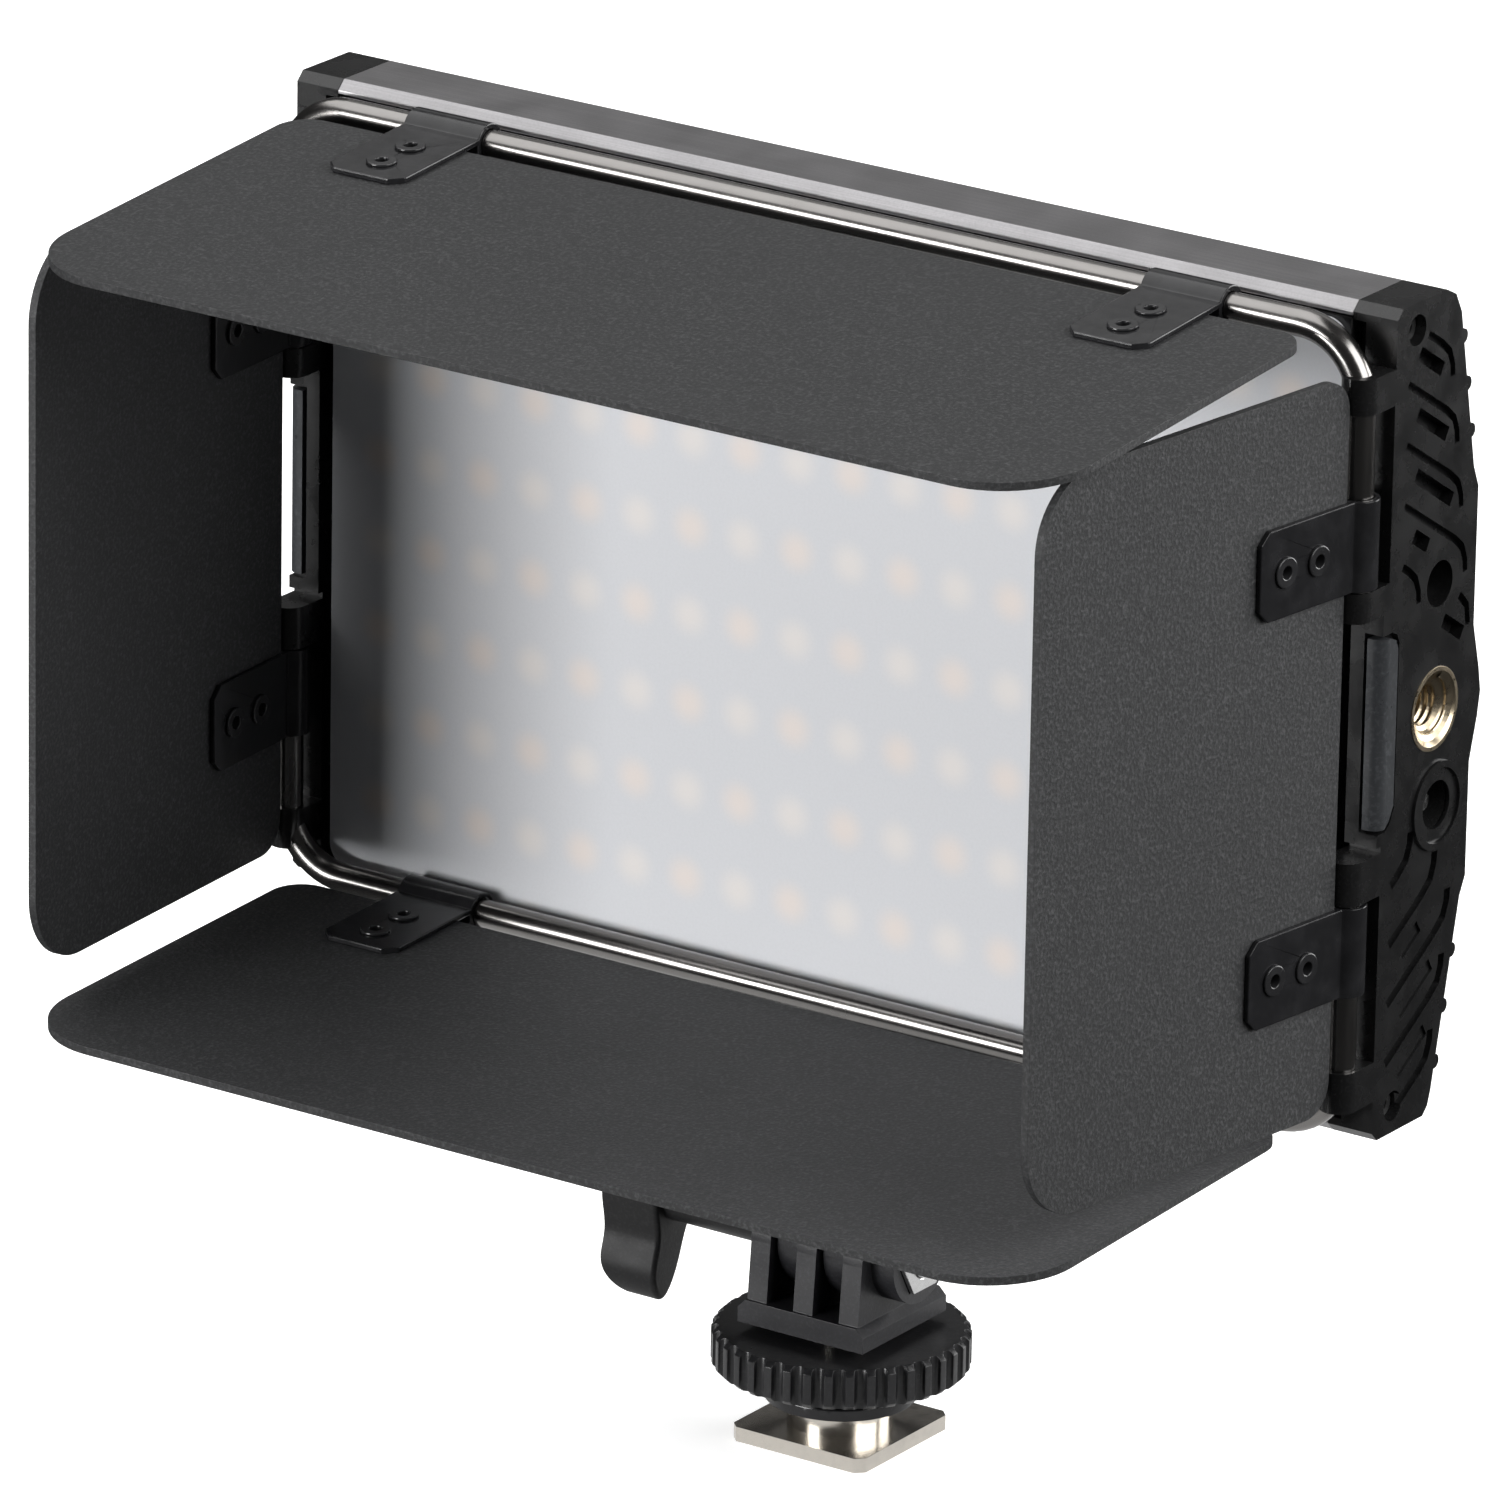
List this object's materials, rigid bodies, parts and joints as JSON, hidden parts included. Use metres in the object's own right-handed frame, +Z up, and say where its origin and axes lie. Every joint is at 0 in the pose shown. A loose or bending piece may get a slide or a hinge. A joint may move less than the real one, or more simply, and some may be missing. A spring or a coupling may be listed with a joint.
{
  "type": "led panel light",
  "caption": "Slim LED panel light with frosted diffuser, folding barn doors on a rod frame, and a tilting accessory-shoe mount with clamp lever and locking wheel.",
  "frame": {"origin": "centre of the shoe foot's bottom face", "axes": "+Z up, the diffuser faces -Y, +X towards the end cap with the ports; doors stand open"},
  "size_m": [0.1508, 0.0871, 0.1535],
  "materials": {
    "plated_steel": "bright nickel plate",
    "black_washer": "black oxide",
    "wheel_plastic": "semi-gloss, moulded",
    "mount_plastic": "semi-matte, moulded",
    "bright_steel": "bright zinc plate",
    "lever_plastic": "semi-matte, moulded",
    "anodised_aluminium": "satin grey anodised",
    "cap_plastic": "fine-textured",
    "black_screw_steel": "black oxide",
    "pad_plastic": "smooth",
    "insert_brass": "nickel over brass",
    "jack_plastic": "moulded",
    "rod_steel": "polished black nickel",
    "frosted_acrylic": "frosted",
    "white_plastic": "matte white",
    "board_white": "white solder mask",
    "led_warm_phosphor": "silicone, warm",
    "led_cool_phosphor": "silicone, cool",
    "bare_aluminium": "mill finish",
    "battery_wrap": "shrink wrap",
    "board_green": "green solder mask",
    "encoder_case": "moulded",
    "display_glass": "dark glass",
    "panel_plastic": "fine-textured",
    "window_glass": "smoked, clear",
    "dial_plastic": "moulded",
    "button_plastic": "moulded",
    "door_coating": "fine-textured matte powder coat",
    "strap_enamel": "gloss enamel",
    "rivet_enamel": "gloss enamel"
  },
  "bodies": {
    "shoe_mount": {"shoe_foot": "plated_steel", "fork": "mount_plastic", "clamp_nut": "bright_steel"},
    "clamp_washer": {"clamp_washer": "black_washer"},
    "locking_wheel": {"locking_wheel": "wheel_plastic"},
    "clamp_screw": {"clamp_screw": "bright_steel", "clamp_lever": "lever_plastic"},
    "panel": {"tilt_bracket": "mount_plastic", "bracket_screws": "bright_steel", "housing_shell": "anodised_aluminium", "end_cap_left": "cap_plastic", "end_cap_right": "cap_plastic", "cap_screws": "black_screw_steel", "side_pad_left": "pad_plastic", "side_pad_right": "pad_plastic", "thread_insert": "insert_brass", "dc_jack": "jack_plastic", "jack_pin": "bright_steel", "upper_rod": "rod_steel", "lower_rod": "rod_steel", "diffuser": "frosted_acrylic", "bezel": "cap_plastic", "reflector_frame": "white_plastic", "led_board": "board_white", "leds_warm": "led_warm_phosphor", "leds_cool": "led_cool_phosphor", "heat_spreader": "bare_aluminium", "battery_pack": "battery_wrap", "control_board": "board_green", "dial_encoders": "encoder_case", "display_module": "display_glass", "rear_panel": "panel_plastic", "display_window": "window_glass"},
    "door_top": {"door_top": "door_coating", "straps_top": "strap_enamel", "rivets_top": "rivet_enamel"},
    "door_bottom": {"door_bottom": "door_coating", "straps_bottom": "strap_enamel", "rivets_bottom": "rivet_enamel"},
    "door_left": {"door_left": "door_coating", "straps_left": "strap_enamel", "rivets_left": "rivet_enamel"},
    "door_right": {"door_right": "door_coating", "straps_right": "strap_enamel", "rivets_right": "rivet_enamel"},
    "dimmer_dial": {"dimmer_dial": "dial_plastic"},
    "tone_dial": {"tone_dial": "dial_plastic"},
    "power_button": {"power_button": "button_plastic"},
    "mode_button": {"mode_button": "button_plastic"}
  },
  "joints": [
    {"name": "washer_slide", "type": "slide", "parent": "shoe_mount", "child": "clamp_washer", "axis": [0, 0, 1], "range_m": [-0.0014, 0]},
    {"name": "wheel_turn", "type": "hinge", "parent": "clamp_washer", "child": "locking_wheel", "pos_m": [0, 0, 0.0112], "axis": [0, 0, 1], "range_deg": [-396, 0]},
    {"name": "clamp_screw_turn", "type": "hinge", "parent": "shoe_mount", "child": "clamp_screw", "pos_m": [0, 0, 0.0248], "axis": [-1, 0, 0], "range_deg": [0, 360]},
    {"name": "panel_tilt", "type": "hinge", "parent": "shoe_mount", "child": "panel", "pos_m": [0, 0, 0.0248], "axis": [-1, 0, 0], "range_deg": [-90, 90]},
    {"name": "door_top_swing", "type": "hinge", "parent": "panel", "child": "door_top", "pos_m": [0, -0.0097, 0.1511], "axis": [-1, 0, 0], "range_deg": [0, 110]},
    {"name": "door_bottom_swing", "type": "hinge", "parent": "panel", "child": "door_bottom", "pos_m": [0, -0.0097, 0.0575], "axis": [1, 0, 0], "range_deg": [-3.5, 72.1]},
    {"name": "door_left_swing", "type": "hinge", "parent": "panel", "child": "door_left", "pos_m": [-0.0729, -0.0097, 0.1043], "axis": [0, 0, -1], "range_deg": [-86, 119.5]},
    {"name": "door_right_swing", "type": "hinge", "parent": "panel", "child": "door_right", "pos_m": [0.0729, -0.0097, 0.1043], "axis": [0, 0, 1], "range_deg": [-82, 123.5]},
    {"name": "dimmer_dial_turn", "type": "hinge", "parent": "panel", "child": "dimmer_dial", "pos_m": [0.012, 0.0126, 0.1153], "axis": [0, 1, 0], "range_deg": [0, 300]},
    {"name": "tone_dial_turn", "type": "hinge", "parent": "panel", "child": "tone_dial", "pos_m": [0.028, 0.0126, 0.1153], "axis": [0, 1, 0], "range_deg": [0, 300]},
    {"name": "power_button_press", "type": "slide", "parent": "panel", "child": "power_button", "axis": [0, -1, 0], "range_m": [0, 0.0008], "stiffness_N_per_m": 1500, "springref_m": -0.0003},
    {"name": "mode_button_press", "type": "slide", "parent": "panel", "child": "mode_button", "axis": [0, -1, 0], "range_m": [0, 0.0008], "stiffness_N_per_m": 1500, "springref_m": -0.0003}
  ],
  "couplings": [
    {"joint": "washer_slide", "follows": "wheel_turn", "m_per_rad": 0.00020213}
  ]
}
